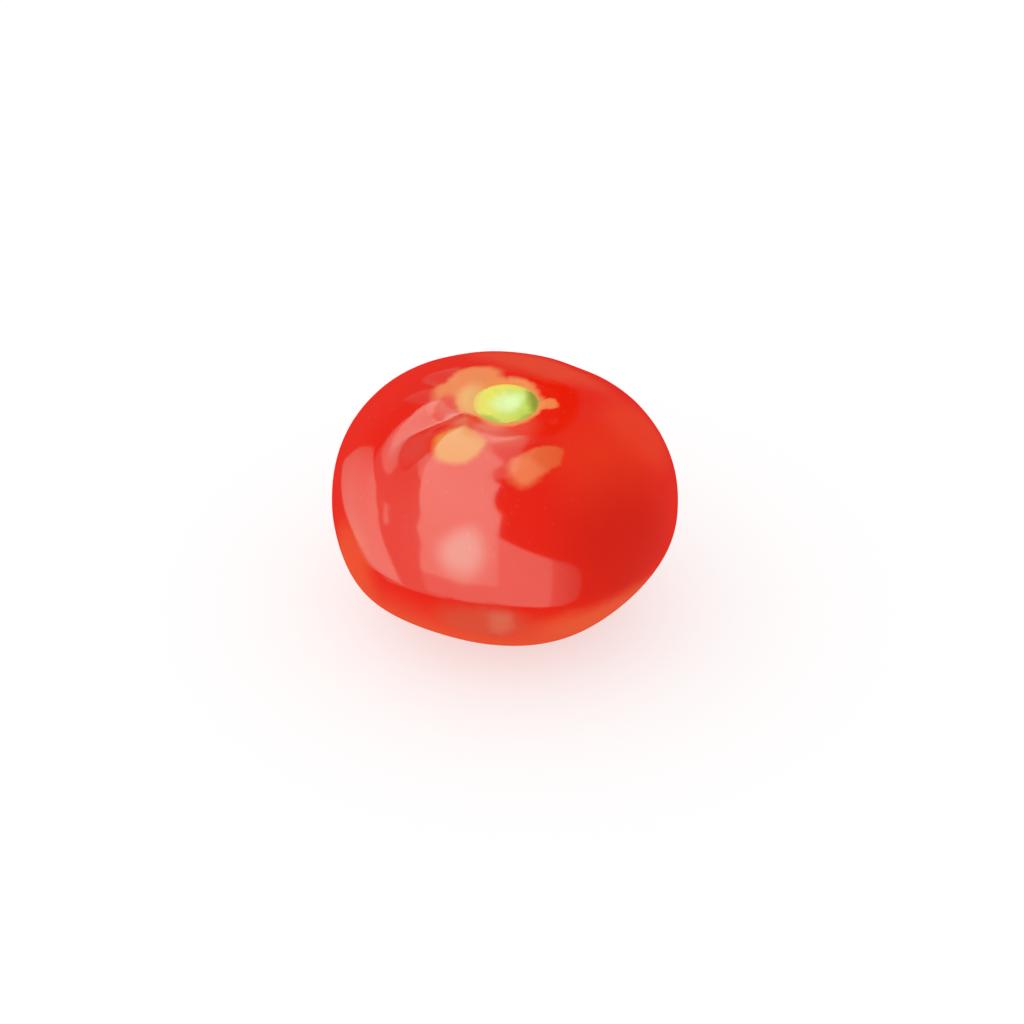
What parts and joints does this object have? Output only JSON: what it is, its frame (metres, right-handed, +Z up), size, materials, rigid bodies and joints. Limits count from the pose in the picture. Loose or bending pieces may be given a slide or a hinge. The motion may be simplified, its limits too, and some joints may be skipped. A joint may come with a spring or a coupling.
{
  "type": "tomato",
  "caption": "Ripe slicing tomato without stalk or sepals: a broad, softly lobed fruit with a shallow basin and a round stem scar on top, resting on a small flat spot.",
  "frame": {"origin": "middle of the footprint of the bounding box, on the plane of the rest spot", "axes": "+Z up from the blossom end to the stem end, -Y towards the side that the picture shows, +X to that view's right"},
  "size_m": [0.0762, 0.074, 0.053],
  "materials": {
    "tomato_skin": "smooth glossy waxy skin, red with orange patches, and a pale yellow-green stem scar"
  },
  "bodies": {
    "root": {"tomato_fruit": "tomato_skin"}
  },
  "joints": []
}
